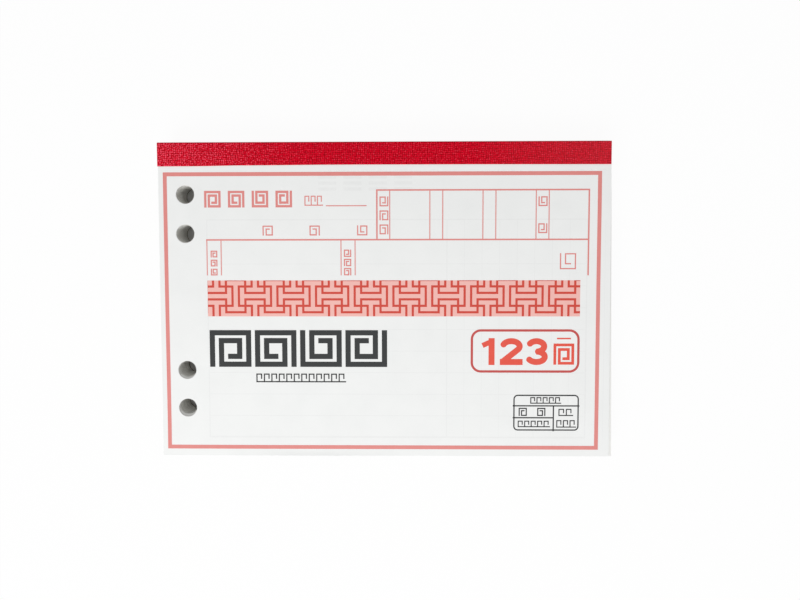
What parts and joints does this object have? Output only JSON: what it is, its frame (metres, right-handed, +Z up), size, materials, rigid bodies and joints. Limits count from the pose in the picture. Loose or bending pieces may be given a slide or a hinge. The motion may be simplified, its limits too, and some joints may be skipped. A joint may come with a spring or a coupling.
{
  "type": "deposit slip pad",
  "caption": "Glued pad of loose-cut slips with a printed cover, a chipboard back, a cloth-taped top edge and punched filing holes; the cover folds back and the top slips tear off.",
  "frame": {"origin": "middle of the pad's underside, midway along its width and its depth", "axes": "+X runs along the bound edge to the right, +Y points across the slips towards the bound edge, +Z points up through the slips to the cover"},
  "size_m": [0.152, 0.1064, 0.0114],
  "materials": {
    "cover_paper": "uncoated printed paper",
    "slip_paper": "uncoated woodfree paper",
    "chipboard": "raw grey chipboard",
    "padding_glue": "dried white padding glue",
    "book_cloth": "fine woven book cloth"
  },
  "bodies": {
    "pad": {"back_board": "chipboard", "slip_004": "slip_paper", "slip_005": "slip_paper", "slip_006": "slip_paper", "slip_007": "slip_paper", "slip_008": "slip_paper", "slip_009": "slip_paper", "slip_010": "slip_paper", "slip_011": "slip_paper", "slip_012": "slip_paper", "slip_013": "slip_paper", "slip_014": "slip_paper", "slip_015": "slip_paper", "slip_016": "slip_paper", "slip_017": "slip_paper", "slip_018": "slip_paper", "slip_019": "slip_paper", "slip_020": "slip_paper", "slip_021": "slip_paper", "slip_022": "slip_paper", "slip_023": "slip_paper", "slip_024": "slip_paper", "slip_025": "slip_paper", "slip_026": "slip_paper", "slip_027": "slip_paper", "slip_028": "slip_paper", "slip_029": "slip_paper", "slip_030": "slip_paper", "slips_031_to_035": "slip_paper", "slips_036_to_040": "slip_paper", "slips_041_to_045": "slip_paper", "slips_046_to_050": "slip_paper", "slips_051_to_055": "slip_paper", "slips_056_to_060": "slip_paper", "slips_061_to_065": "slip_paper", "slips_066_to_070": "slip_paper", "slips_071_to_075": "slip_paper", "slips_076_to_080": "slip_paper", "slips_081_to_085": "slip_paper", "slips_086_to_090": "slip_paper", "slips_091_to_095": "slip_paper", "slips_096_to_100": "slip_paper", "slips_101_to_105": "slip_paper", "slips_106_to_110": "slip_paper", "slips_111_to_115": "slip_paper", "slips_116_to_120": "slip_paper", "slips_121_to_125": "slip_paper", "slips_126_to_130": "slip_paper", "cover_strip_under_tape": "cover_paper", "glue_film": "padding_glue", "binding_tape": "book_cloth"},
    "cover": {"front_cover": "cover_paper"},
    "first_slip": {"tear_off_slip_001": "slip_paper"},
    "second_slip": {"tear_off_slip_002": "slip_paper"},
    "third_slip": {"tear_off_slip_003": "slip_paper"}
  },
  "joints": [
    {"name": "cover_opens", "type": "hinge", "parent": "pad", "child": "cover", "pos_m": [0, 0.04525, 0.01137], "axis": [-1, 0, 0], "range_deg": [0, 178]},
    {"name": "first_slip_tears_off", "type": "slide", "parent": "pad", "child": "first_slip", "axis": [0, -1, 0], "range_m": [0, 0.11]},
    {"name": "second_slip_tears_off", "type": "slide", "parent": "pad", "child": "second_slip", "axis": [0, -1, 0], "range_m": [0, 0.11]},
    {"name": "third_slip_tears_off", "type": "slide", "parent": "pad", "child": "third_slip", "axis": [0, -1, 0], "range_m": [0, 0.11]}
  ]
}
